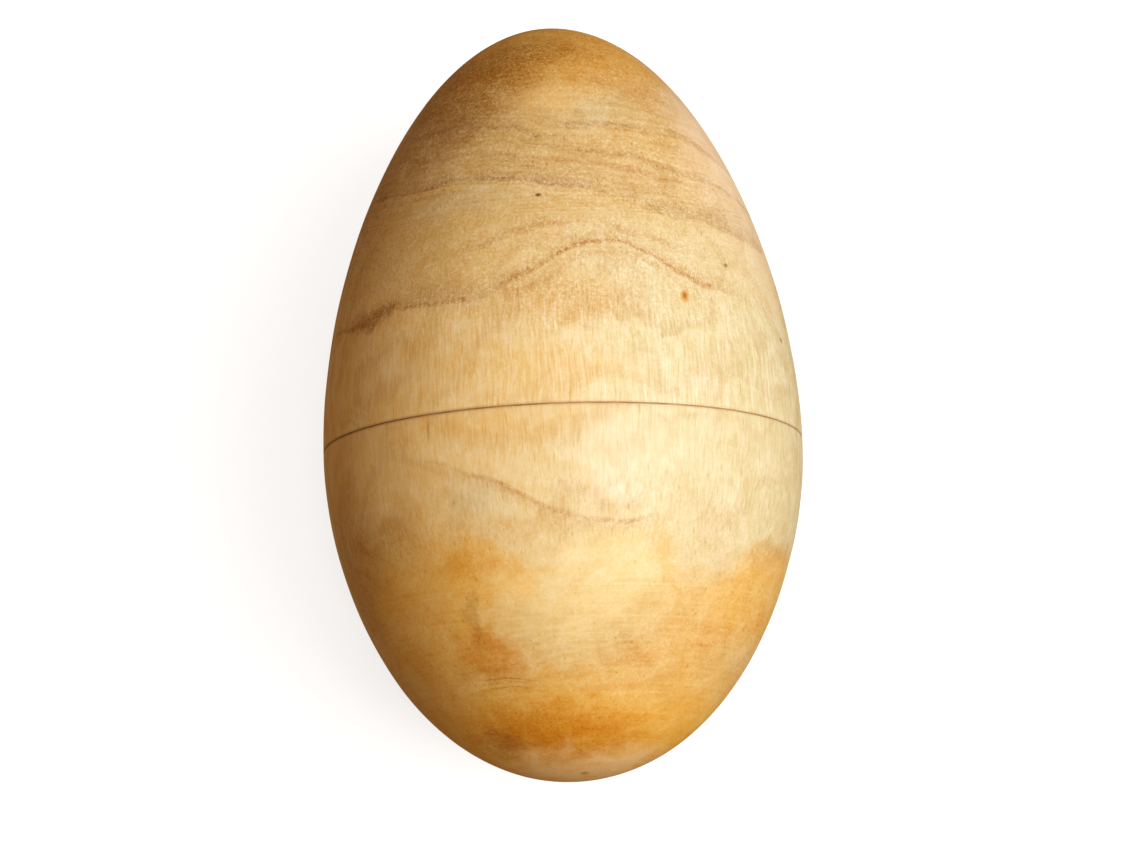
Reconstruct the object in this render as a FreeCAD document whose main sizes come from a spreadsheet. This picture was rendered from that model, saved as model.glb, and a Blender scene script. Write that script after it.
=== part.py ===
"""Wooden egg shaker: two turned half shells, the glue that joins them, and loose steel shot inside.

The egg lies on its side. Its turning axis is Y, with the pointed end towards +Y and the blunt end towards
-Y, and Z is up. The origin is the centre of the joint plane, where the egg is widest. Sizes are in
millimetres. The blunt half carries a spigot, the pointed half has the socket for it, and a thin film of glue
fills the gap between them. The shot lies one layer deep along the bottom of the hollow.
"""

import FreeCAD, Part
import math
import os

import Sketcher

# name, value: the driving dimensions, one row of the sheet each
DRIVING_SIZES = (
    ("belly_diameter", 50.0),  # outside, at the joint
    ("pointed_height", 45.3),  # joint plane to the pointed tip
    ("blunt_height", 34.7),  # joint plane to the blunt tip
    ("pointed_side_fullness", 0.44),  # share of the height over which the side stays steep
    ("pointed_tip_fullness", 0.576),  # share of the radius over which the tip stays flat
    ("blunt_side_fullness", 0.46),
    ("blunt_tip_fullness", 0.616),
    ("belly_wall", 4.5),  # at the joint, spigot included
    ("end_wall", 7.0),  # at both tips
    ("spigot_wall", 2.1),
    ("spigot_length", 5.0),
    ("socket_relief", 0.3),  # room past the end of the spigot
    ("spigot_lead_in", 0.3),  # chamfer round the spigot's end
    ("glue_gap", 0.1),  # between spigot and socket, on the radius
    ("glue_line", 0.12),  # between the two rims, along the axis
    ("glue_recess", 0.1),  # how far the glue stays below the outside
    ("edge_break", 0.08),  # chamfer round each outer rim
    ("shot_diameter", 4.5),
    ("shot_spacing", 0.3),  # clear space between neighbours
    ("shot_wall_gap", 0.15),  # clear space between a ball and the wood
    ("shot_centre", 1.5),  # where the middle of the layer lies along the axis
)
SHOT_ROWS = (7, 8, 9, 8, 7)  # balls in each row, from one side of the layer to the other
OUTLINE_STEPS = 400  # points along each curve of the hollow when a ball is set down on it

SHEET = "Sizes"
OUTER_RADIUS = "Sizes.belly_diameter / 2"
HOLLOW_RADIUS = "(Sizes.belly_diameter / 2 - Sizes.belly_wall)"
SPIGOT_RADIUS = HOLLOW_RADIUS + " + Sizes.spigot_wall"
SOCKET_RADIUS = SPIGOT_RADIUS + " + Sizes.glue_gap"
GLUE_RADIUS = OUTER_RADIUS + " - Sizes.edge_break - Sizes.glue_recess"
HALF_GLUE_LINE = "Sizes.glue_line / 2"
SOCKET_DEPTH = "Sizes.spigot_length + Sizes.socket_relief"


def fill_sheet(doc):
    """The spreadsheet that drives every piece: names in column A, values in column B."""
    sheet = doc.addObject("Spreadsheet::Sheet", SHEET)
    for row, (name, value) in enumerate(DRIVING_SIZES, start=1):
        sheet.set(f"A{row}", name)
        sheet.set(f"B{row}", str(value))
        sheet.setAlias(f"B{row}", name)
    doc.recompute()
    return sheet


# ---- sketch helpers: every corner is dimensioned from the origin by expressions on the sheet ----


def new_body(doc, label):
    body = doc.addObject("PartDesign::Body", label)
    body.Label = label
    return body


def new_sketch(body, name):
    """A sketch on the body's own XY plane: X is the distance from the turning axis, Y runs along it."""
    sketch = body.newObject("Sketcher::SketchObject", name)
    plane = [f for f in body.Origin.OriginFeatures if f.Role == "XY_Plane"][0]
    sketch.AttachmentSupport = [(plane, "")]
    sketch.MapMode = "FlatFace"
    return sketch


def at(sketch, corner):
    """The point that a pair of expressions comes to."""
    x, y = (float(sketch.evalExpression(text)) for text in corner)
    return FreeCAD.Vector(x, y, 0)


def pin(sketch, geometry, end, corner):
    """Dimensions one end of a side from the origin, or puts it on an axis where its distance is 0."""
    origin = (-1, 1)
    for kind, axis, text in zip(("DistanceX", "DistanceY"), (-2, -1), corner):
        value = float(sketch.evalExpression(text))
        if text == "0":
            sketch.addConstraint(Sketcher.Constraint("PointOnObject", geometry, end, axis))
            continue
        first, second = (origin, (geometry, end)) if value > 0 else ((geometry, end), origin)
        index = sketch.addConstraint(Sketcher.Constraint(kind, *first, *second, abs(value)))
        name = f"{kind}_{geometry}_{end}"
        sketch.renameConstraint(index, name)
        sketch.setExpression(f"Constraints.{name}", text if value > 0 else f"-({text})")


def add_curve(sketch, corners):
    """A cubic curve through four poles: it starts and ends on the outer two."""
    poles = [at(sketch, corner) for corner in corners]
    curve = Part.BSplineCurve(poles, None, None, False, 3, None, False)
    side = sketch.addGeometry(curve, False)
    circles = [sketch.addGeometry(Part.Circle(p, FreeCAD.Vector(0, 0, 1), 1), True) for p in poles]
    for number, circle in enumerate(circles):
        role = "InternalAlignment:Sketcher::BSplineControlPoint"
        sketch.addConstraint(Sketcher.Constraint(role, circle, 3, side, number))
    sketch.addConstraint(Sketcher.Constraint("Weight", circles[0], 1.0))
    for circle in circles[1:]:
        sketch.addConstraint(Sketcher.Constraint("Equal", circles[0], circle))
    for circle, corner in zip(circles[1:3], corners[1:3]):
        pin(sketch, circle, 3, corner)
    return side


def add_loop(sketch, sides):
    """A closed outline. A side is a tuple of corners: 2 for a straight one and 4 for a curved one.

    Each side starts where the one before it ends, and every corner is dimensioned once.
    """
    drawn = []
    for corners in sides:
        if len(corners) == 2:
            line = Part.LineSegment(at(sketch, corners[0]), at(sketch, corners[1]))
            drawn.append(sketch.addGeometry(line, False))
        else:
            drawn.append(add_curve(sketch, corners))
    for side, corners, following in zip(drawn, sides, drawn[1:] + drawn[:1]):
        sketch.addConstraint(Sketcher.Constraint("Coincident", side, 2, following, 1))
        pin(sketch, side, 1, corners[0])


def turn(body, sketch, name):
    """Turns the sketch about its Y axis."""
    revolution = body.newObject("PartDesign::Revolution", name)
    revolution.Profile = sketch
    revolution.ReferenceAxis = (sketch, ["V_Axis"])
    revolution.Angle = 360
    return revolution


def circle_edges(shape, radius, height):
    """Names of the shape's whole circles of that radius, at that place along Y."""
    found = []
    for number, edge in enumerate(shape.Edges, start=1):
        if edge.Degenerated or not isinstance(edge.Curve, Part.Circle):
            continue
        if abs(edge.Curve.Radius - radius) < 1e-4 and abs(edge.Curve.Center.y - height) < 1e-4:
            found.append(f"Edge{number}")
    return found


def bevel(body, base, name, radius, height, size):
    """A chamfer round the circle at that radius and height, both given as expressions."""
    body.Document.recompute()
    edges = circle_edges(base.Shape, *(float(base.evalExpression(text)) for text in (radius, height)))
    chamfer = body.newObject("PartDesign::Chamfer", name)
    chamfer.Base = (base, edges)
    chamfer.setExpression("Size", size)
    return chamfer


# ---- the pieces ----


def outer_poles(half, sign):
    """Poles of a half's outside, from the rim to the tip. sign is "" towards +Y and "-" towards -Y."""
    height = f"Sizes.{half}_height"
    return (
        (OUTER_RADIUS, f"{sign}{HALF_GLUE_LINE}"),
        (OUTER_RADIUS, f"{sign}{height} * Sizes.{half}_side_fullness"),
        (f"{OUTER_RADIUS} * Sizes.{half}_tip_fullness", f"{sign}{height}"),
        ("0", f"{sign}{height}"),
    )


def hollow_poles(half, sign, mouth):
    """Poles of a half's hollow, from its deepest point to its mouth, which is at that height."""
    depth = f"(Sizes.{half}_height - Sizes.end_wall)"
    return (
        ("0", f"{sign}{depth}"),
        (f"{HOLLOW_RADIUS} * Sizes.{half}_tip_fullness", f"{sign}{depth}"),
        (HOLLOW_RADIUS, f"{mouth} + ({sign}{depth} - ({mouth})) * Sizes.{half}_side_fullness"),
        (HOLLOW_RADIUS, mouth),
    )


def make_pointed_half(doc):
    """The longer half, with the socket in its rim."""
    body = new_body(doc, "pointed_half_shell")
    section = new_sketch(body, "PointedSection")
    outside = outer_poles("pointed", "")
    hollow = hollow_poles("pointed", "", SOCKET_DEPTH)
    add_loop(
        section,
        (
            outside,
            (outside[3], hollow[0]),
            hollow,
            (hollow[3], (SOCKET_RADIUS, SOCKET_DEPTH)),
            ((SOCKET_RADIUS, SOCKET_DEPTH), (SOCKET_RADIUS, HALF_GLUE_LINE)),
            ((SOCKET_RADIUS, HALF_GLUE_LINE), outside[0]),
        ),
    )
    shell = turn(body, section, "PointedTurning")
    bevel(body, shell, "PointedRimBreak", OUTER_RADIUS, HALF_GLUE_LINE, "Sizes.edge_break")
    return body


def make_blunt_half(doc):
    """The shorter half, with the spigot standing up from its rim."""
    body = new_body(doc, "blunt_half_shell")
    section = new_sketch(body, "BluntSection")
    outside = outer_poles("blunt", "-")
    hollow = hollow_poles("blunt", "-", "0")
    spigot_end = "Sizes.spigot_length"
    add_loop(
        section,
        (
            outside,
            (outside[3], hollow[0]),
            hollow,
            (hollow[3], (HOLLOW_RADIUS, spigot_end)),
            ((HOLLOW_RADIUS, spigot_end), (SPIGOT_RADIUS, spigot_end)),
            ((SPIGOT_RADIUS, spigot_end), (SPIGOT_RADIUS, f"-{HALF_GLUE_LINE}")),
            ((SPIGOT_RADIUS, f"-{HALF_GLUE_LINE}"), outside[0]),
        ),
    )
    shell = turn(body, section, "BluntTurning")
    rim = bevel(body, shell, "BluntRimBreak", OUTER_RADIUS, f"-{HALF_GLUE_LINE}", "Sizes.edge_break")
    bevel(body, rim, "SpigotLeadIn", SPIGOT_RADIUS, spigot_end, "Sizes.spigot_lead_in")
    return body


def make_glue_ring(doc):
    """The set glue: a thin washer between the rims and a sleeve between spigot and socket."""
    body = new_body(doc, "glue_ring")
    section = new_sketch(body, "GlueSection")
    sleeve_end = "Sizes.spigot_length - Sizes.spigot_lead_in"
    corners = (
        (SPIGOT_RADIUS, f"-{HALF_GLUE_LINE}"),
        (GLUE_RADIUS, f"-{HALF_GLUE_LINE}"),
        (GLUE_RADIUS, HALF_GLUE_LINE),
        (SOCKET_RADIUS, HALF_GLUE_LINE),
        (SOCKET_RADIUS, sleeve_end),
        (SPIGOT_RADIUS, sleeve_end),
    )
    add_loop(section, tuple(zip(corners, corners[1:] + corners[:1])))
    turn(body, section, "GlueTurning")
    return body


def hollow_outline(sheet):
    """Points along the hollow's outline as (radius, place along the axis), from tip to tip."""
    outline = []
    mouths = (("blunt", "-", "0"), ("pointed", "", SOCKET_DEPTH))
    for half, sign, mouth in mouths:
        curve = Part.BezierCurve()
        curve.setPoles([at(sheet, corner) for corner in hollow_poles(half, sign, mouth)])
        outline += [(p.x, p.y) for p in curve.discretize(Number=OUTLINE_STEPS)]
    radius = sheet.belly_diameter / 2 - sheet.belly_wall
    bore_end = float(sheet.evalExpression(SOCKET_DEPTH))
    return outline + [(radius, bore_end * n / OUTLINE_STEPS) for n in range(OUTLINE_STEPS)]


def shot_places(sheet):
    """Where each ball's centre rests, as (x, y, z), row by row.

    The rows run along the egg and are staggered by half a ball, as packed balls are. Each ball is set down
    until it is shot_wall_gap from the hollow, so its centre is that gap and its own radius from the outline.
    """
    reach = sheet.shot_diameter / 2 + sheet.shot_wall_gap
    pitch = sheet.shot_diameter + sheet.shot_spacing
    outline = hollow_outline(sheet)
    places = []
    for row, count in enumerate(SHOT_ROWS):
        x = (row - (len(SHOT_ROWS) - 1) / 2) * pitch * math.sqrt(3) / 2
        for number in range(count):
            y = sheet.shot_centre + (number - (count - 1) / 2) * pitch
            near = [(r, along - y) for r, along in outline if abs(along - y) < reach]
            from_axis = min(r - math.sqrt(reach**2 - offset**2) for r, offset in near)
            places.append((x, y, -math.sqrt(from_axis**2 - x**2)))
    return places


def make_shot(doc, sheet):
    """The loose balls, each one a piece of its own."""
    balls = []
    for number, place in enumerate(shot_places(sheet), start=1):
        label = f"steel_shot_{number:02d}"
        ball = doc.addObject("Part::Sphere", label)
        ball.Label = label
        ball.setExpression("Radius", "Sizes.shot_diameter / 2")
        ball.Placement = FreeCAD.Placement(FreeCAD.Vector(*place), FreeCAD.Rotation())
        balls.append(ball)
    return balls


def check(doc, pieces):
    """Stops the build if any object failed or any piece isn't one valid closed solid."""
    failed = [o.Name for o in doc.Objects if {"Invalid", "Error"} & set(o.State)]
    if failed:
        raise RuntimeError(f"these objects failed: {failed}")
    for piece in pieces:
        shape = piece.Shape
        if shape.isNull() or not shape.isValid() or len(shape.Solids) != 1 or shape.Volume <= 0:
            raise RuntimeError(f"{piece.Label} isn't one valid solid")


def main():
    doc = FreeCAD.newDocument("egg_shaker")
    sheet = fill_sheet(doc)
    pieces = [make_pointed_half(doc), make_blunt_half(doc), make_glue_ring(doc)]
    pieces += make_shot(doc, sheet)
    doc.recompute()
    check(doc, pieces)
    os.makedirs("parts", exist_ok=True)
    for piece in pieces:
        piece.Shape.exportStep(f"parts/{piece.Label}.step")
        print(f"{piece.Label}: {piece.Shape.Volume:.1f} mm3")
    return sheet


if __name__ == "__main__":
    main()
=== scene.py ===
"""A wooden egg shaker: two turned half shells, the glue between them and the loose steel shot inside.

The egg lies on its side on a pale floor. Its turning axis is Y, with the pointed end towards +Y, and Z is up.
The origin is the middle of the joint between the halves. Sizes are in metres unless a name says millimetres.
"""

import math
from collections import namedtuple

import bmesh
import bpy
from bpy.props import FloatProperty, FloatVectorProperty, IntProperty, PointerProperty
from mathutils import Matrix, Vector


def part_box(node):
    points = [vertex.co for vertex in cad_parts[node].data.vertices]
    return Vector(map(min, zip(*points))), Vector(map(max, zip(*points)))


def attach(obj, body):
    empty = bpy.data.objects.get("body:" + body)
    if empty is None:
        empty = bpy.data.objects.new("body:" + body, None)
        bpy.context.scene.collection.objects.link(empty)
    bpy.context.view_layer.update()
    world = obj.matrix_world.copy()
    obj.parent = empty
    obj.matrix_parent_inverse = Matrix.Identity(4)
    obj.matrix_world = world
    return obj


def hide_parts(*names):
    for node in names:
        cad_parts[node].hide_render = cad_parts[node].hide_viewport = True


bl_info = {
    "name": "Wooden Egg Shaker",
    "version": (1, 0, 0),
    "blender": (4, 5, 0),
    "location": "View3D > Sidebar > Egg Shaker",
    "description": "Builds a turned wooden egg shaker around its frame, with its wood, glue, shot and studio",
    "category": "Add Mesh",
}

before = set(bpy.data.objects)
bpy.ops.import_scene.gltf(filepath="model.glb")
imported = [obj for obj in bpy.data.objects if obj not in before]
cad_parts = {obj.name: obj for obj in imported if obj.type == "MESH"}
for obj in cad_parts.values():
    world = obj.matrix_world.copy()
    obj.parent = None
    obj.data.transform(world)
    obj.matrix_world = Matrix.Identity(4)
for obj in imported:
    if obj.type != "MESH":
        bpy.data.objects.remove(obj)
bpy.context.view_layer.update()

MM = 0.001
POINTED_LOW, POINTED_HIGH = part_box("pointed_half_shell")
BLUNT_LOW, BLUNT_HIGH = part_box("blunt_half_shell")
GLUE_LOW, GLUE_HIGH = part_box("glue_ring")
BELLY_RADIUS = POINTED_HIGH.x
SHOT_NODES = sorted(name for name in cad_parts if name.startswith("steel_shot"))

MERGE = 0.001 * MM  # vertices closer than this are one
NEAR = 0.004 * MM  # how near a circle a vertex lies when it is picked for it
SMOOTH_BELOW = 35  # degrees between two faces, past which their edge stays sharp
WAVER_SIZE = 11 * MM  # size of the hand waver's hills
WAVER_FADE = 3 * MM  # length over which the hand waver starts at the joint
RIM_SEGMENTS = 2  # steps of the rounding round each outer rim
GLUE_SAG = 0.03 * MM  # how far the glue bulges in the open joint

FLOOR_RADIUS = 1.2
FLOOR_GAP = 0.1 * MM  # between the egg and the floor
FLOOR_SIDES = 96
COVE_RADIUS = 0.5  # of the curve from the floor to the wall
COVE_STEP = 10  # degrees
WALL_HEIGHT = 1.5
FLOOR_DEPTH = 14.0  # power that darkens the board under its glow, so that the light hardly marks it
CONTACT_REACH = 20 * MM  # how near the egg the board's glow starts to fade
CONTACT_GLOW = 0.30  # share of the glow that is left where the egg touches
KEY_SIZE = 0.60
KEY_DISTANCE = 0.75
KEY_AIM = Vector((0, 5 * MM, 0))
KEY_FROM = Vector((0.56, -0.10, 0.82)).normalized()
KEY_COLOUR = (1.0, 0.985, 0.96)
CAMERA_AIM = Vector((0.8 * MM, 2.3 * MM, 0))
CAMERA_SENSOR = 36


def display(red, green, blue):
    """A colour as shown on screen, from 0 to 255, as the linear values that Blender keeps."""
    shares = (value / 255 for value in (red, green, blue))
    return tuple(s / 12.92 if s <= 0.04045 else ((s + 0.055) / 1.055) ** 2.4 for s in shares)


# ---- what a user would change ----


def length(name, description, default):
    return FloatProperty(
        name=name,
        description=description,
        default=default,
        min=0,
        precision=5,
        unit="LENGTH",
        subtype="DISTANCE",
    )


def share(name, description, default):
    return FloatProperty(name=name, description=description, default=default, min=0, max=1, subtype="FACTOR")


def colour(name, description, *default):
    return FloatVectorProperty(
        name=name,
        description=description,
        default=display(*default),
        size=3,
        min=0,
        max=1,
        subtype="COLOR",
    )


def angle(name, description, degrees):
    return FloatProperty(name=name, description=description, default=math.radians(degrees), subtype="ANGLE")


def number(name, description, default, least=0, unit="NONE"):
    return FloatProperty(name=name, description=description, default=default, min=least, unit=unit)


class EggShakerTurning(bpy.types.PropertyGroup):
    """Sizes of the turned pieces that the frame's boxes don't give."""

    pointed_side: share("Pointed side", "Share of its height over which the pointed half stays steep", 0.44)
    pointed_tip: share("Pointed tip", "Share of the radius over which the pointed tip stays flat", 0.576)
    blunt_side: share("Blunt side", "Share of its height over which the blunt half stays steep", 0.46)
    blunt_tip: share("Blunt tip", "Share of the radius over which the blunt tip stays flat", 0.616)
    belly_wall: length("Belly wall", "Thickness of the wood at the joint", 4.5 * MM)
    end_wall: length("End wall", "Thickness of the wood at both tips", 7 * MM)
    spigot_wall: length("Spigot wall", "Thickness of the spigot that stands on the blunt half", 2.1 * MM)
    glue_gap: length("Glue gap", "Gap between spigot and socket, on the radius", 0.1 * MM)
    socket_relief: length("Socket relief", "Room past the end of the spigot", 0.3 * MM)
    lead_in: length("Lead-in", "Chamfer round the end of the spigot", 0.3 * MM)
    rim_round: length("Rim rounding", "How far each outer rim is rounded by sanding", 0.06 * MM)
    hand_waver: length("Hand waver", "How far hand sanding leaves the outside from a true egg", 0.12 * MM)
    turns: IntProperty(name="Turns", description="Steps round each turned piece", default=256, min=64)
    curve_steps: IntProperty(name="Curve steps", description="Steps along each curve", default=72, min=16)


class EggShakerWood(bpy.types.PropertyGroup):
    """Colours of the wood and its coat."""

    cream: colour("Cream", "Sapwood at the belly, the palest wood", 219, 207, 165)
    golden: colour("Golden", "Wood on the warmer side", 243, 206, 136)
    tan: colour("Tan", "Wood towards both ends", 218, 182, 112)
    honey: colour("Honey", "Yellow stain from resin and finish", 234, 176, 62)
    sunny: colour("Sunny", "Bright yellow heart of the blunt half", 250, 228, 160)
    blush: colour("Blush", "Pinkish pale wood at the limbs", 250, 230, 200)
    straw: colour("Straw", "Thinner yellow stain", 222, 174, 84)
    late: colour("Late wood", "Dark side of each growth layer", 186, 131, 64)
    dun: colour("Dun", "Dull belt between the growth lines of the pointed half", 188, 156, 118)
    brown: colour("Brown", "Brown stain and growth lines", 172, 133, 86)
    amber: colour("Amber", "Deep orange stain", 208, 132, 12)
    ochre: colour("Ochre", "Pin knots", 206, 146, 40)
    umber: colour("Umber", "Darkest stain", 152, 92, 18)
    dark: colour("Dark", "Holes and specks", 70, 44, 20)
    roughness: share("Roughness", "Roughness of the satin coat", 0.54)
    coat: share("Coat", "Weight of the clear coat", 0.08)


class EggShakerStage(bpy.types.PropertyGroup):
    """The camera, the light and the floor."""

    elevation: angle("Elevation", "Camera above the horizon", 79.2)
    roll: angle("Roll", "Camera turned about its own axis", 1.9)
    distance: length("Distance", "Camera to the middle of the joint", 340 * MM)
    lens: number("Lens", "Focal length in millimetres", 102.5, least=1)
    key_watts: number("Key", "Power of the key light", 7.2, unit="POWER")
    fill: number("Fill", "Strength of the light from all round", 0.26)
    fill_colour: colour("Fill colour", "Colour of the light from all round", 255, 207, 156)
    floor: colour("Floor", "Colour of the floor", 247, 247, 247)
    floor_glow: number("Floor glow", "How far the floor lights itself", 0.95)


# ---- shaping: every piece is a primitive or a curve that is shaped in edit mode ----


def deselect_all():
    if bpy.context.object and bpy.context.object.mode != "OBJECT":
        bpy.ops.object.mode_set(mode="OBJECT")
    bpy.ops.object.select_all(action="DESELECT")


def edge_curve(poles, steps):
    """A mesh of edges along the curve from the first pole to the last, leaning to the two between them."""
    deselect_all()
    bpy.ops.curve.primitive_bezier_curve_add()
    curve = bpy.context.object
    first, last = curve.data.splines[0].bezier_points
    for point in (first, last):
        point.handle_left_type = point.handle_right_type = "FREE"
    first.co, first.handle_right, last.handle_left, last.co = (Vector((x, y, 0)) for x, y in poles)
    first.handle_left = first.co
    last.handle_right = last.co
    curve.data.resolution_u = steps
    bpy.ops.object.convert(target="MESH")
    return bpy.context.object


def select_where(piece, test):
    """In edit mode, selects the vertices whose place passes the test, and what lies between them."""
    mesh = bmesh.from_edit_mesh(piece.data)
    for element in (*mesh.verts, *mesh.edges, *mesh.faces):
        element.select = False
    for vertex in mesh.verts:
        vertex.select = test(vertex.co)
    mesh.select_flush_mode()
    bmesh.update_edit_mesh(piece.data)


def select_point(piece, corner):
    x, y = corner
    select_where(piece, lambda co: abs(co.x - x) < MERGE and abs(co.y - y) < MERGE and abs(co.z) < MERGE)


def select_circle(piece, radius, y):
    """Selects the whole circle of that radius at that place along the egg."""
    select_where(piece, lambda co: abs(math.hypot(co.x, co.z) - radius) < NEAR and abs(co.y - y) < NEAR)


def extrude_along(piece, corners):
    """Extrudes the vertex at the first corner through the others, in straight legs."""
    for corner, following in zip(corners, corners[1:]):
        select_point(piece, corner)
        step = (following[0] - corner[0], following[1] - corner[1], 0)
        bpy.ops.mesh.extrude_vertices_move(TRANSFORM_OT_translate={"value": step})


def spin_round(turns):
    """Turns the edges of the open mesh about Y into a closed skin that faces outwards."""
    bpy.ops.mesh.select_all(action="SELECT")
    bpy.ops.mesh.spin(steps=turns, angle=2 * math.pi, center=(0, 0, 0), axis=(0, 1, 0))
    bpy.ops.mesh.select_all(action="SELECT")
    bpy.ops.mesh.remove_doubles(threshold=MERGE)
    bpy.ops.mesh.normals_make_consistent(inside=False)


def round_circle(piece, radius, y, size, segments):
    select_circle(piece, radius, y)
    bpy.ops.mesh.bevel(offset=size, segments=segments, profile=0.5, affect="EDGES", clamp_overlap=True)


def waver(piece, strength, is_outside, rim_y):
    """Leaves the outside slightly uneven, as hand sanding does, fading out towards the joint."""
    group = piece.vertex_groups.new(name="outside")
    for vertex in piece.data.vertices:
        if is_outside(vertex):
            weight = min(1.0, abs(vertex.co.y - rim_y) / WAVER_FADE)
            group.add([vertex.index], weight, "REPLACE")
    clouds = bpy.data.textures.new("hand_sanding", "CLOUDS")
    clouds.noise_scale = WAVER_SIZE
    clouds.noise_depth = 1
    bpy.context.view_layer.objects.active = piece
    bpy.ops.object.modifier_add(type="DISPLACE")
    lift = piece.modifiers[-1]
    lift.texture = clouds
    lift.texture_coords = "LOCAL"
    lift.mid_level = 0.5
    lift.strength = strength
    lift.vertex_group = group.name
    bpy.ops.object.modifier_apply(modifier=lift.name)


def mark_bare_wood(piece, is_outside):
    """Stores 1 on the wood that never got a coat, and 0 on the outside."""
    bare = piece.data.attributes.new("bare_wood", "FLOAT", "POINT")
    for vertex, value in zip(piece.data.vertices, bare.data):
        value.value = 0.0 if is_outside(vertex) else 1.0


def finish_piece(piece, name, material, body, node):
    bpy.ops.object.mode_set(mode="OBJECT")
    piece.name = name
    piece.data.name = name
    bpy.ops.object.shade_smooth_by_angle(angle=math.radians(SMOOTH_BELOW))
    piece.data.materials.clear()
    piece.data.materials.append(material)
    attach(piece, body)
    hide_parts(node)
    return piece


def half_shell(outer, inner, corners, turns, steps):
    """Turns a half shell from its outside curve, its hollow curve and the straight legs between the two."""
    hollow = edge_curve(inner, steps)
    shell = edge_curve(outer, steps)
    hollow.select_set(True)
    shell.select_set(True)
    bpy.context.view_layer.objects.active = shell
    bpy.ops.object.join()
    bpy.ops.object.mode_set(mode="EDIT")
    bpy.ops.mesh.select_mode(type="VERT")
    extrude_along(shell, [outer[0], *corners, inner[0]])
    bpy.ops.mesh.select_all(action="SELECT")
    bpy.ops.mesh.remove_doubles(threshold=MERGE)
    spin_round(turns)
    return shell


def egg_poles(radius, height, side, tip, start):
    """Poles of an egg's end, from its mouth at start to its tip at height."""
    return (
        (radius, start),
        (radius, start + (height - start) * side),
        (radius * tip, height),
        (0.0, height),
    )


# ---- materials: each is a short recipe of nodes ----


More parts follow.
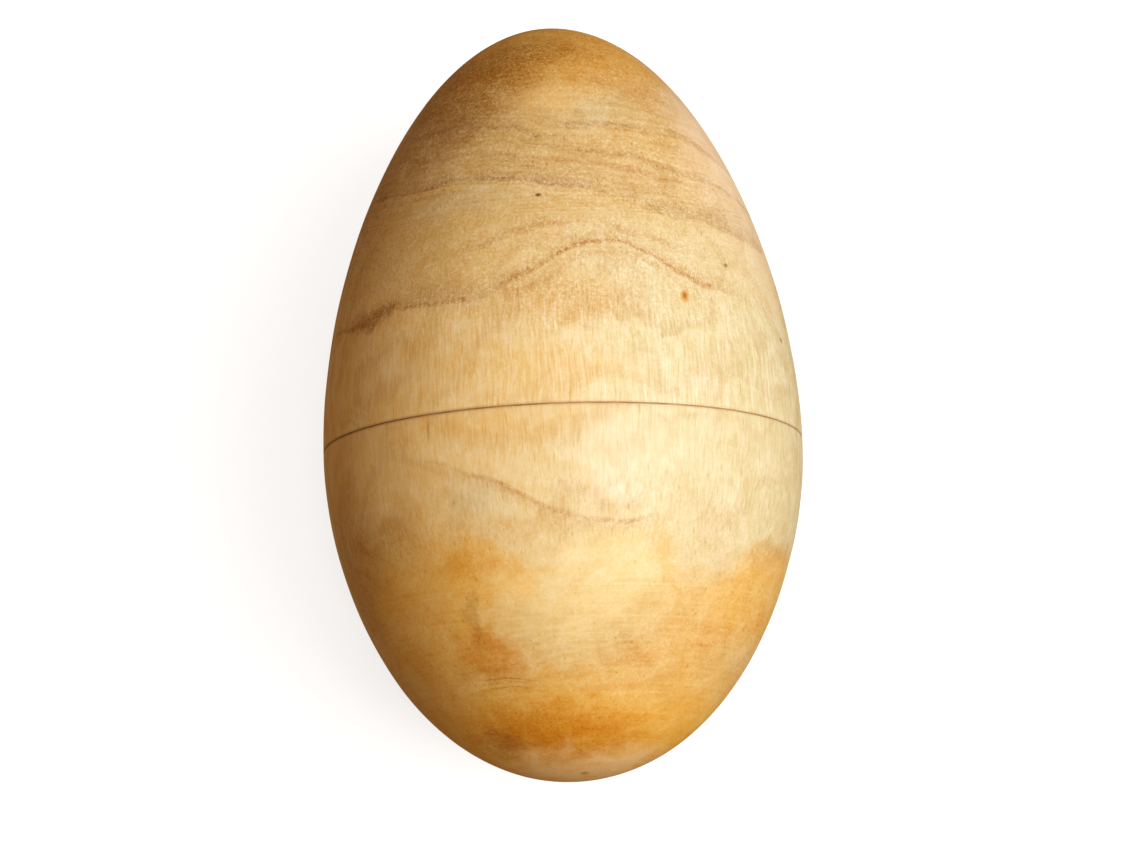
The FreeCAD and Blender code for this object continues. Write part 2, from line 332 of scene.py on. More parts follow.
class Recipe:
    """A material's nodes, with a short call for each kind that the recipes use."""

    def __init__(self, name):
        self.material = bpy.data.materials.new(name)
        self.material.use_nodes = True
        self.tree = self.material.node_tree
        self.tree.nodes.clear()
        output = self.tree.nodes.new("ShaderNodeOutputMaterial")
        self.shader = self.tree.nodes.new("ShaderNodeBsdfPrincipled")
        self.tree.links.new(self.shader.outputs["BSDF"], output.inputs["Surface"])

    def feed(self, socket, value):
        if isinstance(value, bpy.types.NodeSocket):
            self.tree.links.new(value, socket)
        else:
            socket.default_value = value

    def node(self, kind, *values, **settings):
        made = self.tree.nodes.new(kind)
        for name, setting in settings.items():
            setattr(made, name, setting)
        for socket, value in zip(made.inputs, values):
            self.feed(socket, value)
        return made

    def maths(self, operation, *values):
        return self.node("ShaderNodeMath", *values, operation=operation).outputs["Value"]

    def vector(self, operation, *values):
        return self.node("ShaderNodeVectorMath", *values, operation=operation).outputs["Vector"]

    def split(self, vector):
        return self.node("ShaderNodeSeparateXYZ", vector).outputs

    def place(self):
        """The place on the piece, in millimetres."""
        where = self.node("ShaderNodeTexCoord").outputs["Object"]
        return self.vector("MULTIPLY", where, (1 / MM, 1 / MM, 1 / MM))

    def times(self, value, factor):
        return self.maths("MULTIPLY", value, factor)

    def add(self, base, value, factor):
        """The base with so many times the value on top."""
        return self.maths("MULTIPLY_ADD", value, factor, base)

    def vary(self, base, texture, amount):
        """The base, moved up and down by a texture that runs from 0 to 1."""
        return self.add(base, self.maths("SUBTRACT", texture, 0.5), amount)

    def step(self, value, low, high, from_value=0.0, to_value=1.0):
        """Goes smoothly from one value to the other as the value passes from low to high."""
        made = self.node("ShaderNodeMapRange", value, low, high, from_value, to_value)
        made.interpolation_type = "SMOOTHSTEP"
        return made.outputs["Result"]

    def texture(self, inputs, **settings):
        """A noise with the inputs that are given by name."""
        made = self.node("ShaderNodeTexNoise", **settings)
        for name, value in {"Scale": 1.0, "Distortion": 0.0, **inputs}.items():
            self.feed(made.inputs[name], value)
        return made

    def noise(self, vector, size, detail=2.0, rough=0.5, distortion=0.0, stretch=(1, 1, 1), out="Fac"):
        """Noise with blotches of about that size in millimetres, longer along an axis by its stretch."""
        scaled = self.vector("MULTIPLY", vector, tuple(1 / (size * s) for s in stretch))
        inputs = {"Vector": scaled, "Detail": detail, "Roughness": rough, "Distortion": distortion}
        return self.texture(inputs).outputs[out]

    def bands(self, value, size, detail=2.0, rough=0.5):
        """Noise along one value: bands of about that width."""
        inputs = {"W": self.maths("DIVIDE", value, size), "Detail": detail, "Roughness": rough}
        return self.texture(inputs, noise_dimensions="1D").outputs["Fac"]

    def wobble(self, place, size, reach, detail=2.0, rough=0.5):
        """The place, shifted by smooth noise of about that size by up to about that reach."""
        shift = self.noise(place, size, detail, rough, out="Color")
        shift = self.vector("SUBTRACT", shift, (0.5, 0.5, 0.5))
        shift = self.vector("MULTIPLY", shift, (2 * reach, 2 * reach, 2 * reach))
        return self.vector("ADD", place, shift)

    def pores(self, place, spacing, length, radius):
        """Fine spindles along Y, about that far apart, each from 0, faint, to 1, open."""
        cell = (1 / spacing, 1 / (spacing * length), 1 / spacing)
        made = self.node("ShaderNodeTexVoronoi", self.vector("MULTIPLY", place, cell))
        made.inputs["Scale"].default_value = 1.0
        inside = self.step(made.outputs["Distance"], radius * 1.5, radius * 0.6)
        chance = self.node("ShaderNodeSeparateColor", made.outputs["Color"]).outputs["Red"]
        return self.times(inside, self.step(chance, 0.25, 0.95))

    def blot(self, place, stain):
        """A stain's strength inside its ellipsoid and 0 outside it, with a soft edge."""
        offset = self.vector("SUBTRACT", place, stain.centre)
        scaled = self.vector("MULTIPLY", offset, tuple(1 / r for r in stain.radii))
        distance = self.node("ShaderNodeVectorMath", scaled, operation="LENGTH").outputs["Value"]
        return self.step(distance, 1 + stain.edge, 1 - stain.edge, 0.0, stain.strength)

    def mix(self, base, top, amount):
        made = self.node("ShaderNodeMix", data_type="RGBA")
        for name, value in (("Factor", amount), ("A", base), ("B", top)):
            self.feed(made.inputs[name], value)
        return made.outputs["Result"]

    def deepen(self, colour_in, amount):
        """The colour made paler below 1, and deeper and stronger above 1, as oil and wear do to wood."""
        return self.node("ShaderNodeGamma", colour_in, amount).outputs["Color"]

    def surface(self, values):
        """Gives the shader's sockets their values, or links them to what the recipe has worked out."""
        for name, value in values.items():
            self.feed(self.shader.inputs[name], value)

    def bump(self, height, strength, distance):
        """Stands the surface out by that distance where the height is 1."""
        made = self.node("ShaderNodeBump")
        for name, value in (("Strength", strength), ("Distance", distance), ("Height", height)):
            self.feed(made.inputs[name], value)
        self.surface({"Normal": made.outputs["Normal"]})


def rgba(values):
    return (*values, 1.0)


WOOD_TONES = (
    "cream", "golden", "tan", "honey", "sunny", "blush", "straw",
    "late", "dun", "brown", "amber", "ochre", "umber", "dark",
)
GLUE_BROWN = display(168, 112, 62)
GLUE_PALE = display(204, 154, 100)
STEEL_BRIGHT = display(196, 197, 199)
STEEL_DULL = display(158, 157, 154)
STEEL_SCUFF = display(120, 112, 100)


# What shows in the wood. Places and sizes are in millimetres on the finished egg, seen from above with the
# pointed end away: x to the right, y along the egg, z up.
#
# Arch: one growth layer's dark edge. Its line has an apex (x, y), arms that fall away on both sides, a
# roundness at the apex, a tilt, a level below which the arms don't drop, and a reach (from x to x) within
# which it shows. The line has a width and a strength. A glow of its own strength fades out on the side of +Y,
# or of -Y if fade is negative.
Arch = namedtuple("Arch", "name apex fall roundness tilt level reach width line fade glow tone")
# Grain: the seat of the piece in its board, so that no two pieces have the same fibres. Then the growth
# layers, which lie nearly flat under the top: their bend across, slope along and slope across. Then the close
# lines towards the tip: their slope and strength. Last the strengths of the fine speckle and of the fibres.
Grain = namedtuple("Grain", "seat bend along across lean closeness speckle fibre")
# Stain: an ellipsoid of another colour in the wood; a few of them are painted shade or painted highlight. Its
# edge is a share of its radii. Stains are frayed, and marks are not.
Stain = namedtuple("Stain", "name centre radii edge tone strength")

POINTED_GRAIN = Grain((0.0, 0.0, 0.0), 0.028, 0.28, -0.036, 0.17, 0.34, 1.60, 1.35)
BLUNT_GRAIN = Grain((17.3, 41.0, 8.6), 0.030, -0.34, 0.050, -0.20, 0.24, 0.75, 0.95)

POINTED_ARCHES = (
    Arch("cathedral", (6.0, 16.7), -0.43, 2.0, 0.00, 11.2, (-24, 17), 0.46, 0.70, 1.7, 0.36, "late"),
    Arch("cathedral_echo", (3.5, 18.4), -0.22, 5.0, -0.02, 12.6, (-8, 14), 0.60, 0.40, 1.0, 0.22, "late"),
    Arch("cathedral_inner", (6.5, 15.4), -0.45, 2.5, 0.00, 10.0, (-5, 14), 0.60, 0.24, 1.6, 0.16, "late"),
    Arch("shoulder", (-7.0, 24.3), -0.05, 6.0, -0.14, -50.0, (-24, 4), 0.48, 0.80, 1.4, 0.34, "brown"),
    Arch("shoulder_belt", (-2.0, 23.4), -0.03, 6.0, -0.17, -50.0, (-30, 30), 0.80, 0.10, 8.0, 0.32, "dun"),
    Arch("right_line", (9.0, 21.2), -0.03, 6.0, -0.20, -50.0, (8, 26), 0.60, 0.40, 1.8, 0.32, "brown"),
    Arch("upper_line", (0.0, 28.2), -0.02, 5.0, -0.23, -50.0, (-2, 24), 0.55, 0.44, 1.0, 0.20, "brown"),
    Arch("crown_line", (-3.0, 30.0), -0.06, 4.0, -0.18, -50.0, (-20, 1), 0.55, 0.54, 1.3, 0.38, "brown"),
    Arch("crown_line_right", (5.0, 30.2), -0.06, 4.0, -0.14, -50.0, (1, 18), 0.55, 0.42, 0.8, 0.20, "brown"),
)
BLUNT_ARCHES = (
    Arch("valley", (6.0, -11.6), 0.42, 3.0, 0.00, -50.0, (-12, 9), 0.50, 0.48, -1.8, 0.24, "late"),
    Arch("lower_right", (3.0, -25.0), 0.36, 6.0, 0.00, -50.0, (5, 26), 0.60, 0.10, 3.2, 0.34, "amber"),
    Arch("tool_mark", (-6.5, -26.1), 0.00, 3.0, -0.08, -50.0, (-9, -4), 0.17, 0.50, -0.3, 0.10, "umber"),
    Arch("tool_mark_2", (-6.0, -26.6), 0.00, 3.0, -0.07, -50.0, (-9, -4), 0.15, 0.35, -0.3, 0.10, "umber"),
    Arch("tool_mark_3", (-6.5, -27.2), 0.00, 3.0, -0.09, -50.0, (-9, -4), 0.17, 0.40, -0.3, 0.10, "umber"),
)

POINTED_STAINS = (
    Stain("crown", (-2.0, 42.0, 6.0), (15.0, 9.0, 14.0), 0.45, "honey", 0.72),
    Stain("crown_left", (-8.5, 35.4, 11.8), (6.5, 4.6, 8.0), 0.60, "umber", 0.55),
    Stain("crown_cap", (-3.5, 39.6, 10.0), (7.5, 2.6, 6.0), 0.70, "umber", 0.52),
    Stain("crown_right", (10.0, 36.0, 9.0), (9.0, 7.0, 9.0), 0.70, "late", 0.24),
    Stain("crown_pale", (4.8, 31.6, 16.4), (4.5, 1.8, 4.0), 0.70, "cream", 0.34),
    Stain("crown_pale_left", (-0.3, 33.4, 15.9), (3.2, 1.5, 4.0), 0.70, "golden", 0.50),
    # Browner along the left limb: partly the wood's tone, partly painted shade on the side away from the
    # light.
    Stain("left_edge", (-22.0, 26.0, 2.0), (8.0, 16.0, 11.0), 0.50, "umber", 0.18),
    Stain("upper_left", (-11.8, 30.0, 14.0), (6.5, 2.6, 6.0), 0.70, "umber", 0.36),
    Stain("right_limb", (18.0, 29.0, 5.0), (6.5, 15.0, 10.0), 0.60, "blush", 0.60),
    Stain("pale_belt", (12.0, 17.8, 18.5), (11.0, 2.8, 9.0), 0.70, "cream", 0.24),
    Stain("pale_belt_left", (-8.0, 21.6, 19.0), (7.0, 1.5, 5.0), 0.80, "cream", 0.35),
    Stain("left_tan", (-14.0, 17.5, 18.0), (8.0, 4.0, 8.0), 0.60, "tan", 0.45),
    Stain("left_root", (-18.3, 11.3, 15.0), (3.2, 1.1, 4.0), 0.70, "umber", 0.60),
    Stain("left_run", (-11.0, 12.3, 20.5), (8.0, 1.5, 5.0), 0.70, "brown", 0.22),
    Stain("orange_mottle", (1.0, 10.6, 24.1), (6.0, 2.0, 4.0), 0.90, "ochre", 0.38),
    Stain("belly_glow", (-3.0, 3.0, 24.5), (9.0, 2.6, 8.0), 0.80, "golden", 0.35),
)
BLUNT_STAINS = (
    Stain("lower_end", (0.0, -36.0, 2.0), (24.0, 13.5, 21.0), 0.40, "honey", 0.88),
    Stain("joint_stain", (-9.0, -1.2, 23.0), (11.0, 1.4, 6.0), 0.90, "honey", 0.30),
    Stain("left_golden", (-15.0, -19.0, 16.0), (9.0, 7.5, 12.0), 0.50, "honey", 0.60),
    Stain("middle_golden", (-7.5, -15.6, 20.7), (5.5, 2.4, 5.0), 0.45, "honey", 0.62),
    Stain("left_brown", (-17.0, -11.8, 16.5), (2.8, 2.2, 4.0), 0.80, "umber", 0.18),
    # Browner along the left limb: partly the wood's tone, partly painted shade on the side away from the
    # light.
    Stain("left_limb", (-21.5, -14.0, 9.0), (3.5, 9.0, 7.0), 0.60, "umber", 0.32),
    Stain("right_amber", (20.0, -17.5, 9.0), (6.5, 5.0, 9.0), 0.40, "straw", 0.80),
    Stain("right_tip", (20.8, -13.6, 10.0), (3.0, 1.6, 5.0), 0.50, "brown", 0.22),
    Stain("right_soft", (12.5, -20.5, 15.0), (5.0, 4.5, 6.0), 0.60, "straw", 0.50),
    Stain("knot_shadow", (-7.9, -23.6, 16.4), (3.2, 2.4, 4.0), 0.60, "amber", 0.60),
    Stain("knot_dark", (-8.6, -24.9, 14.9), (3.0, 0.8, 3.0), 0.80, "umber", 0.16),
    Stain("split", (-9.0, -19.8, 18.0), (0.6, 3.0, 3.0), 0.90, "umber", 0.30),
    Stain("ridge", (9.3, -14.8, 18.8), (0.8, 3.4, 4.0), 0.90, "straw", 0.50),
    Stain("foot", (-2.0, -30.8, 9.5), (10.0, 2.5, 6.0), 0.60, "amber", 0.80),
    Stain("foot_core", (-1.6, -31.2, 10.6), (3.6, 1.1, 3.0), 0.70, "amber", 0.85),
    Stain("foot_dark", (-6.6, -31.7, 7.4), (3.2, 0.9, 3.0), 0.80, "umber", 0.42),
    Stain("foot_rim", (3.0, -35.2, 5.0), (12.0, 2.2, 7.0), 0.95, "blush", 0.40),
    Stain("pale_heart", (1.0, -17.5, 21.0), (8.5, 6.0, 5.0), 0.50, "sunny", 0.36),
    # Painted highlight: a pale patch where the key light's highlight falls.
    Stain("pale_window", (6.0, -5.5, 23.5), (4.5, 3.6, 4.0), 0.40, "blush", 0.32),
    Stain("pale_left", (-8.4, -8.8, 22.3), (3.2, 1.8, 4.0), 0.80, "cream", 0.42),
    Stain("golden_edge", (-8.5, -14.9, 20.0), (4.8, 1.0, 4.0), 0.60, "amber", 0.24),
    Stain("pale_belly", (14.0, -4.5, 20.0), (10.0, 4.0, 8.0), 0.70, "cream", 0.40),
)

POINTED_MARKS = (
    Stain("pin_knot", (12.6, 11.3, 20.4), (0.42, 0.62, 1.2), 0.50, "ochre", 0.90),
    Stain("pin_knot_eye", (12.6, 11.35, 20.4), (0.18, 0.3, 1.2), 0.60, "umber", 0.80),
    Stain("pinhole", (-1.6, 21.9, 21.2), (0.28, 0.17, 1.0), 0.50, "dark", 0.85),
    Stain("fleck", (17.0, 15.4, 15.6), (0.2, 0.22, 0.8), 0.60, "dark", 0.60),
    Stain("side_fleck", (22.7, 9.0, 8.7), (0.5, 0.28, 0.35), 0.60, "umber", 0.60),
)
BLUNT_MARKS = (
    Stain("rim_crack", (-13.1, -1.5, 21.2), (0.14, 1.0, 1.0), 0.80, "umber", 0.45),
    # Painted highlight: a short pale streak on the left limb, the glint of a window.
    Stain("scratch", (-22.0, -11.0, 8.5), (0.5, 0.9, 0.2), 0.50, "cream", 0.90),
    Stain("foot_fleck", (1.1, -34.2, 4.1), (0.4, 0.2, 0.5), 0.60, "umber", 0.60),
)


def arch_shade(wood, x, y, arch):
    """How strongly an arch shows at a place, from 0 to its strength."""
    level_softness = 1.5
    end_softness = 3
    core = 0.15 * arch.width
    aside = wood.maths("SUBTRACT", x, arch.apex[0])
    arms = wood.maths("SQRT", wood.maths("MULTIPLY_ADD", aside, aside, arch.roundness**2))
    middle = wood.add(arch.apex[1] - arch.fall * arch.roundness, arms, arch.fall)
    middle = wood.add(middle, aside, arch.tilt)
    middle = wood.maths("SMOOTH_MAX", middle, arch.level, level_softness)
    off = wood.maths("SUBTRACT", y, middle)
    line = wood.step(wood.maths("ABSOLUTE", off), arch.width, core, 0.0, arch.line)
    beyond = wood.maths("DIVIDE", off, arch.fade)
    glow = wood.times(wood.step(beyond, -0.1, 0.1), wood.step(beyond, 1.0, 0.0, 0.0, arch.glow))
    start, end = arch.reach
    inside = wood.times(
        wood.step(x, start - end_softness, start + end_softness),
        wood.step(x, end + end_softness, end - end_softness),
    )
    return wood.times(wood.maths("MAXIMUM", line, glow), inside)


def wood_recipe(name, look, grain, arches, stains, marks):
    """Solid wood with its grain along Y: growth layers, stains, lines, pores, fibres and a satin coat."""
    wood = Recipe(name)
    tones = {tone: rgba(getattr(look, tone)) for tone in WOOD_TONES}
    place = wood.place()
    flat = wood.split(place)
    slow = wood.wobble(place, size=13, reach=2.4)
    frayed = wood.wobble(slow, size=3.2, reach=2.2, detail=4, rough=0.62)
    x, y, z = wood.split(wood.wobble(slow, size=2.2, reach=0.30, detail=3))
    from_joint = wood.maths("ABSOLUTE", y)
    board = wood.vector("ADD", place, grain.seat)
    threads = wood.wobble(board, size=5, reach=0.45, detail=1)
    speckle = wood.noise(board, size=0.27, rough=0.65, distortion=1.0)

    # The wood is golden on the left, paler on the right, and darker towards both ends. This is partly the
    # wood's own tone and partly painted shade, on the left side and at the ends where the light falls off.
    west = wood.step(wood.split(frayed)["X"], 12, -19)
    base = wood.mix(tones["cream"], tones["golden"], west)
    base = wood.mix(base, tones["tan"], wood.step(from_joint, 8, 27, to_value=0.75))

    # Growth layers: broad soft ones, and fine ones that show as close lines towards the ends.
    layer = wood.add(z, wood.times(x, x), grain.bend)
    layer = wood.add(layer, y, grain.along)
    layer = wood.add(layer, x, grain.across)
    broad = wood.step(wood.bands(layer, size=1.5), 0.38, 0.68, to_value=0.20)
    base = wood.mix(base, tones["late"], broad)
    close = wood.bands(wood.add(y, x, grain.lean), size=0.62, detail=3, rough=0.6)
    near_tip = wood.step(from_joint, 18, 25, to_value=grain.closeness)
    base = wood.mix(base, tones["late"], wood.times(wood.step(close, 0.38, 0.70), near_tip))

    # Stains soak in unevenly, as the speckle does, and the painted shade and highlight among them break up
    # the same way.
    soaked = wood.step(speckle, 0.30, 0.66, 1 - 0.18 * grain.speckle, 1 + 0.12 * grain.speckle)
    for stain in stains:
        base = wood.mix(base, tones[stain.tone], wood.times(wood.blot(frayed, stain), soaked))

    # The arches lie in the top only, and break up here and there.
    top = wood.step(flat["Z"], 0, 7)
    broken = wood.times(wood.step(wood.noise(board, size=3.5), 0.30, 0.58, from_value=0.35), top)
    broken = wood.times(wood.step(speckle, 0.30, 0.62, 0.45, 1.15), broken)
    for arch in arches:
        base = wood.mix(base, tones[arch.tone], wood.times(arch_shade(wood, x, y, arch), broken))

    # Fibres and pores run along the grain, so they show as streaks round the belly and as dots at the ends.
    belly = wood.step(from_joint, 17, 8, from_value=0.25)
    fibre = wood.noise(threads, size=0.26, rough=0.6, stretch=(1, 15, 1))
    streak = wood.step(wood.noise(threads, size=0.18, detail=1, stretch=(1, 28, 1)), 0.60, 0.74)
    pore = wood.pores(threads, spacing=0.50, length=8, radius=0.17)
    cloud = wood.noise(frayed, size=1.8, detail=4, rough=0.62)
    blotch = wood.noise(wood.vector("MULTIPLY", slow, (1.0, 1.6, 1.0)), size=5.0, detail=3, rough=0.6)
    turning = wood.bands(flat["Y"], size=0.30, detail=1)
    speckled = wood.step(from_joint, 6, 14, 0.42 * grain.speckle, grain.speckle)
    ringed = wood.times(wood.step(cloud, 0.40, 0.62), wood.step(from_joint, 12, 20, to_value=0.50))
    depth = wood.vary(1.0, blotch, 0.55)
    depth = wood.vary(depth, cloud, 0.80)
    depth = wood.vary(depth, speckle, speckled)
    depth = wood.vary(depth, fibre, wood.times(belly, grain.fibre))
    depth = wood.vary(depth, turning, ringed)
    depth = wood.add(depth, wood.times(streak, belly), 0.30)
    depth = wood.add(depth, pore, 0.45)
    base = wood.deepen(base, depth)
    for mark in marks:
        base = wood.mix(base, tones[mark.tone], wood.blot(place, mark))

    # Next to the joint the wood turns brown, more so on the left. The wood inside never got a coat.
    rim = wood.step(wood.maths("ABSOLUTE", flat["Y"]), 0.36, 0.05)
    base = wood.mix(base, tones["brown"], wood.times(rim, wood.add(0.25, west, 0.35)))
    bare = wood.node("ShaderNodeAttribute", attribute_name="bare_wood").outputs["Fac"]
    base = wood.mix(base, tones["cream"], wood.times(bare, 0.5))
    rough = wood.add(look.roughness, pore, 0.15)
    rough = wood.add(rough, speckle, 0.10)
    rough = wood.add(rough, bare, 0.25)
    wood.surface({
        "Base Color": base,
        "Roughness": rough,
        "Coat Weight": look.coat,
        "Coat Roughness": 0.45,
        "Specular IOR Level": 0.35,
    })

    # Relief: pores stand open, fibres stand a little proud, and the turning leaves faint rings.
    relief = wood.add(wood.times(fibre, 0.35), pore, -0.6)
    relief = wood.add(relief, speckle, 0.30)
    relief = wood.add(relief, turning, 0.12)
    wood.bump(relief, strength=0.5, distance=0.02 * MM)
    return wood.material


def glue_recipe():
    """Set wood glue, darkened by dust and sanding: brown, uneven and slightly glossy."""
    glue = Recipe("set_glue")
    place = glue.place()
    patch = glue.step(glue.noise(place, size=3.0, detail=3, rough=0.6), 0.35, 0.7)
    glue.surface({
        "Base Color": glue.mix(rgba(GLUE_BROWN), rgba(GLUE_PALE), patch),
        "Roughness": glue.add(0.45, patch, 0.2),
    })
    glue.bump(glue.noise(place, size=0.25), strength=0.4, distance=0.03 * MM)
    return glue.material


def steel_recipe():
    """Polished steel shot, with fine scuffs, a little dulling and traces of wood dust."""
    steel = Recipe("polished_steel")
    place = steel.place()
    dull = steel.step(steel.noise(place, size=1.6, detail=3, rough=0.6), 0.4, 0.75)
    scuff = steel.step(steel.noise(place, size=0.12, rough=0.7, distortion=1.2), 0.62, 0.72)
    base = steel.mix(rgba(STEEL_BRIGHT), rgba(STEEL_DULL), dull)
    steel.surface({
        "Base Color": steel.mix(base, rgba(STEEL_SCUFF), steel.times(scuff, 0.4)),
        "Metallic": 1.0,
        "Roughness": steel.add(steel.add(0.14, dull, 0.12), scuff, 0.2),
    })
    steel.bump(steel.times(scuff, -1.0), strength=0.3, distance=0.01 * MM)
    return steel.material


def floor_recipe(look):
    """A matt painted board, pale and plain, that glows except where the egg keeps the light off it."""
    floor = Recipe("pale_board")
    cloud = floor.noise(floor.place(), size=90)
    dusty = rgba(0.97 * value for value in look.floor)
    paint = floor.mix(rgba(look.floor), dusty, floor.times(cloud, 0.5))
    contact = floor.node("ShaderNodeAmbientOcclusion", samples=8)
    contact.inputs["Distance"].default_value = CONTACT_REACH
    full = look.floor_glow
    floor.surface({
        "Base Color": floor.deepen(paint, FLOOR_DEPTH),
        "Emission Color": paint,
        "Emission Strength": floor.step(contact.outputs["AO"], 0.05, 0.80, CONTACT_GLOW * full, full),
        "Roughness": 0.9,
        "Specular IOR Level": 0.2,
    })
    return floor.material


# ---- operators ----


def turned_sizes(turning):
    """The radii and places that the pieces share, worked out from the frame and the turning sizes."""
    hollow = BELLY_RADIUS - turning.belly_wall
    spigot = hollow + turning.spigot_wall
    return {
        "hollow": hollow,
        "spigot": spigot,
        "socket": spigot + turning.glue_gap,
        "rim": POINTED_LOW.y,
        "spigot_end": BLUNT_HIGH.y,
        "socket_end": BLUNT_HIGH.y + turning.socket_relief,
    }


class EGGSHAKER_OT_pointed_half(bpy.types.Operator):
    """Turn the pointed half shell, with the socket in its rim"""

    bl_idname = "eggshaker.pointed_half"
    bl_label = "Pointed Half"

    def execute(self, context):
        turning = context.scene.egg_shaker_turning
        sizes = turned_sizes(turning)
        outer = egg_poles(BELLY_RADIUS, POINTED_HIGH.y, turning.pointed_side, turning.pointed_tip, 0.0)
        outer = ((BELLY_RADIUS, sizes["rim"]), *outer[1:])
        depth = POINTED_HIGH.y - turning.end_wall
        mouth = sizes["socket_end"]
        inner = egg_poles(sizes["hollow"], depth, turning.pointed_side, turning.pointed_tip, mouth)
        corners = ((sizes["socket"], sizes["rim"]), (sizes["socket"], sizes["socket_end"]))
        shell = half_shell(outer, inner, corners, turning.turns, turning.curve_steps)
        round_circle(shell, BELLY_RADIUS, sizes["rim"], turning.rim_round, RIM_SEGMENTS)
        bpy.ops.object.mode_set(mode="OBJECT")

        def is_outside(vertex):
            return vertex.normal.dot(vertex.co) > 0

        waver(shell, turning.hand_waver, is_outside, sizes["rim"])
        mark_bare_wood(shell, is_outside)
        look = context.scene.egg_shaker_wood
        material = wood_recipe(
            "pointed_wood", look, POINTED_GRAIN, POINTED_ARCHES, POINTED_STAINS, POINTED_MARKS
        )
        finish_piece(shell, "turned_pointed_half", material, "shell", "pointed_half_shell")
        return {"FINISHED"}


class EGGSHAKER_OT_blunt_half(bpy.types.Operator):
    """Turn the blunt half shell, with the spigot that stands up from its rim"""

    bl_idname = "eggshaker.blunt_half"
    bl_label = "Blunt Half"

    def execute(self, context):
        turning = context.scene.egg_shaker_turning
        sizes = turned_sizes(turning)
        outer = egg_poles(BELLY_RADIUS, BLUNT_LOW.y, turning.blunt_side, turning.blunt_tip, 0.0)
        outer = ((BELLY_RADIUS, -sizes["rim"]), *outer[1:])
        depth = BLUNT_LOW.y + turning.end_wall
        inner = egg_poles(sizes["hollow"], depth, turning.blunt_side, turning.blunt_tip, 0.0)
        corners = (
            (sizes["spigot"], -sizes["rim"]),
            (sizes["spigot"], sizes["spigot_end"]),
            (sizes["hollow"], sizes["spigot_end"]),
        )
        shell = half_shell(outer, inner, corners, turning.turns, turning.curve_steps)
        round_circle(shell, BELLY_RADIUS, -sizes["rim"], turning.rim_round, RIM_SEGMENTS)
        round_circle(shell, sizes["spigot"], sizes["spigot_end"], turning.lead_in, 1)
        bpy.ops.object.mode_set(mode="OBJECT")

        def is_outside(vertex):
            return vertex.co.y < 0 and vertex.normal.dot(vertex.co) > 0

        waver(shell, turning.hand_waver, is_outside, -sizes["rim"])
        mark_bare_wood(shell, is_outside)
        look = context.scene.egg_shaker_wood
        material = wood_recipe(
            "blunt_wood", look, BLUNT_GRAIN, BLUNT_ARCHES, BLUNT_STAINS, BLUNT_MARKS
        )
        finish_piece(shell, "turned_blunt_half", material, "shell", "blunt_half_shell")
        return {"FINISHED"}


class EGGSHAKER_OT_glue_ring(bpy.types.Operator):
    """Build the ring of set glue from a circle: a washer between the rims and a sleeve round the spigot"""

    bl_idname = "eggshaker.glue_ring"
    bl_label = "Glue Ring"

    def execute(self, context):
        turning = context.scene.egg_shaker_turning
        sizes = turned_sizes(turning)
        loops = (
            (GLUE_HIGH.x - GLUE_SAG, 0.0),
            (GLUE_HIGH.x, sizes["rim"]),
            (sizes["socket"], sizes["rim"]),
            (sizes["socket"], GLUE_HIGH.y),
            (sizes["spigot"], GLUE_HIGH.y),
            (sizes["spigot"], GLUE_LOW.y),
        )
        deselect_all()
        bpy.ops.mesh.primitive_circle_add(
            vertices=turning.turns,
            radius=GLUE_HIGH.x,
            location=(0, GLUE_LOW.y, 0),
            rotation=(math.pi / 2, 0, 0),
        )
        bpy.ops.object.transform_apply(location=True, rotation=True, scale=True)
        ring = bpy.context.object
        bpy.ops.object.mode_set(mode="EDIT")
        bpy.ops.mesh.select_mode(type="VERT")
        radius, y = GLUE_HIGH.x, GLUE_LOW.y
        for next_radius, next_y in loops:
            select_circle(ring, radius, y)
            bpy.ops.mesh.extrude_region_move(TRANSFORM_OT_translate={"value": (0, next_y - y, 0)})
            factor = next_radius / radius
            bpy.ops.transform.resize(value=(factor, 1, factor), center_override=(0, next_y, 0))
            radius, y = next_radius, next_y

        def is_open_end(co):
            around = math.hypot(co.x, co.z)
            is_end = around > GLUE_HIGH.x - GLUE_SAG or around < sizes["socket"]
            return is_end and abs(co.y - GLUE_LOW.y) < NEAR

        select_where(ring, is_open_end)
        bpy.ops.mesh.bridge_edge_loops()
        bpy.ops.mesh.select_all(action="SELECT")
        bpy.ops.mesh.normals_make_consistent(inside=False)
        finish_piece(ring, "set_glue_ring", glue_recipe(), "shell", "glue_ring")
        return {"FINISHED"}


class EGGSHAKER_OT_steel_shot(bpy.types.Operator):
    """Give every loose ball its polished steel"""

    bl_idname = "eggshaker.steel_shot"
    bl_label = "Steel Shot"

    def execute(self, context):
        steel = steel_recipe()
        for name in SHOT_NODES:
            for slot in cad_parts[name].material_slots:
                slot.material = steel
        return {"FINISHED"}


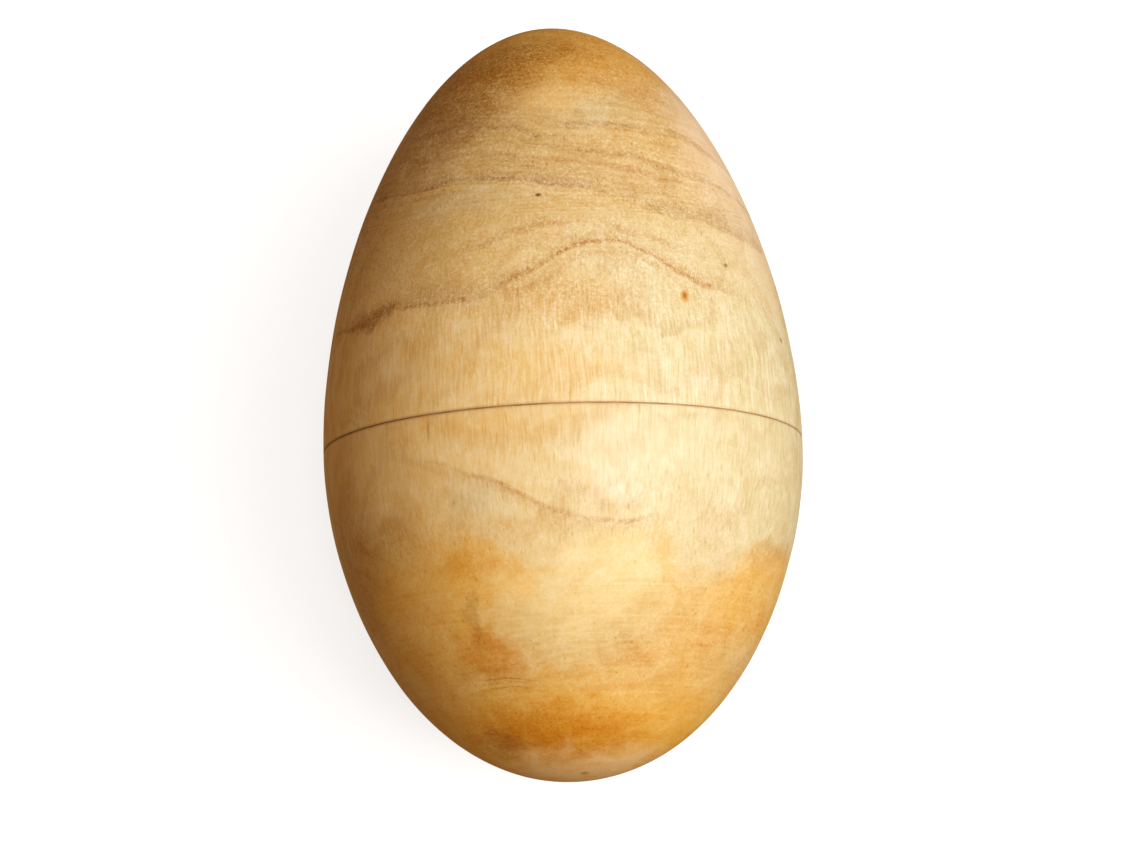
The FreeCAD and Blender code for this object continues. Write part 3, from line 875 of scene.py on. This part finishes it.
class EGGSHAKER_OT_stage(bpy.types.Operator):
    """Set up the pale floor, the soft light and the camera"""

    bl_idname = "eggshaker.stage"
    bl_label = "Studio"

    def execute(self, context):
        stage = context.scene.egg_shaker_stage
        self.lay_floor(stage)
        self.hang_lights(context.scene, stage)
        self.place_camera(context.scene, stage)
        context.scene.view_settings.view_transform = "Standard"
        return {"FINISHED"}

    def lay_floor(self, stage):
        """A round floor that curves up into a wall. Only the camera sees it, so it leaves the light alone."""
        base = POINTED_LOW.z - FLOOR_GAP
        deselect_all()
        bpy.ops.mesh.primitive_circle_add(
            vertices=FLOOR_SIDES,
            radius=FLOOR_RADIUS,
            fill_type="TRIFAN",
            location=(0, 0, base),
        )
        bpy.ops.object.transform_apply(location=True, rotation=False, scale=False)
        cove = bpy.context.object
        bpy.ops.object.mode_set(mode="EDIT")
        bpy.ops.mesh.select_mode(type="VERT")
        radius, height = FLOOR_RADIUS, base

        def is_edge(co):
            return abs(co.z - height) < MM and abs(math.hypot(co.x, co.y) - radius) < MM

        for degrees in range(COVE_STEP, 90 + COVE_STEP, COVE_STEP):
            turned = math.radians(degrees)
            next_radius = FLOOR_RADIUS + COVE_RADIUS * math.sin(turned)
            next_height = base + COVE_RADIUS * (1 - math.cos(turned))
            select_where(cove, is_edge)
            bpy.ops.mesh.extrude_edges_move(TRANSFORM_OT_translate={"value": (0, 0, next_height - height)})
            factor = next_radius / radius
            bpy.ops.transform.resize(value=(factor, factor, 1), center_override=(0, 0, next_height))
            radius, height = next_radius, next_height
        select_where(cove, is_edge)
        bpy.ops.mesh.extrude_edges_move(TRANSFORM_OT_translate={"value": (0, 0, WALL_HEIGHT)})
        bpy.ops.object.mode_set(mode="OBJECT")
        bpy.ops.object.shade_smooth()
        cove.name = "floor"
        cove.data.materials.append(floor_recipe(stage))
        cove.visible_diffuse = False
        cove.visible_glossy = False
        cove.visible_shadow = False

    def hang_lights(self, scene, stage):
        bpy.ops.object.light_add(type="AREA", location=KEY_AIM + KEY_FROM * KEY_DISTANCE)
        key = bpy.context.object
        key.name = "key_softbox"
        key.data.shape = "DISK"
        key.data.size = KEY_SIZE
        key.data.energy = stage.key_watts
        key.data.color = KEY_COLOUR
        key.rotation_mode = "QUATERNION"
        key.rotation_quaternion = KEY_FROM.to_track_quat("Z", "Y")
        world = bpy.data.worlds.new("soft_room")
        world.use_nodes = True
        sky = world.node_tree.nodes["Background"]
        sky.inputs["Color"].default_value = rgba(stage.fill_colour)
        sky.inputs["Strength"].default_value = stage.fill
        scene.world = world

    def place_camera(self, scene, stage):
        back = Vector((0, -math.cos(stage.elevation), math.sin(stage.elevation)))
        bpy.ops.object.camera_add(location=CAMERA_AIM + back * stage.distance)
        camera = bpy.context.object
        camera.name = "studio_camera"
        camera.data.sensor_width = CAMERA_SENSOR
        camera.data.lens = stage.lens
        camera.data.clip_start = 0.01
        camera.rotation_mode = "QUATERNION"
        camera.rotation_quaternion = back.to_track_quat("Z", "Y")
        camera.rotation_mode = "XYZ"
        camera.rotation_euler.rotate_axis("Z", -stage.roll)
        scene.camera = camera


OPERATORS = (
    EGGSHAKER_OT_pointed_half,
    EGGSHAKER_OT_blunt_half,
    EGGSHAKER_OT_glue_ring,
    EGGSHAKER_OT_steel_shot,
    EGGSHAKER_OT_stage,
)


class EGGSHAKER_PT_panel(bpy.types.Panel):
    """Lists the pieces in the order they are made"""

    bl_label = "Egg Shaker"
    bl_idname = "EGGSHAKER_PT_panel"
    bl_space_type = "VIEW_3D"
    bl_region_type = "UI"
    bl_category = "Egg Shaker"

    def draw(self, context):
        for operator in OPERATORS:
            self.layout.operator(operator.bl_idname)
        for group in GROUPS:
            box = self.layout.box()
            settings = getattr(context.scene, group)
            for name in settings.__annotations__:
                box.prop(settings, name)


GROUPS = {
    "egg_shaker_turning": EggShakerTurning,
    "egg_shaker_wood": EggShakerWood,
    "egg_shaker_stage": EggShakerStage,
}


def register():
    for cls in (*GROUPS.values(), *OPERATORS, EGGSHAKER_PT_panel):
        bpy.utils.register_class(cls)
    for name, group in GROUPS.items():
        setattr(bpy.types.Scene, name, PointerProperty(type=group))


def unregister():
    for name in GROUPS:
        delattr(bpy.types.Scene, name)
    for cls in reversed((*GROUPS.values(), *OPERATORS, EGGSHAKER_PT_panel)):
        bpy.utils.unregister_class(cls)


def main():
    register()
    bpy.ops.eggshaker.pointed_half()
    bpy.ops.eggshaker.blunt_half()
    bpy.ops.eggshaker.glue_ring()
    bpy.ops.eggshaker.steel_shot()
    bpy.ops.eggshaker.stage()


if __name__ == "__main__":
    main()
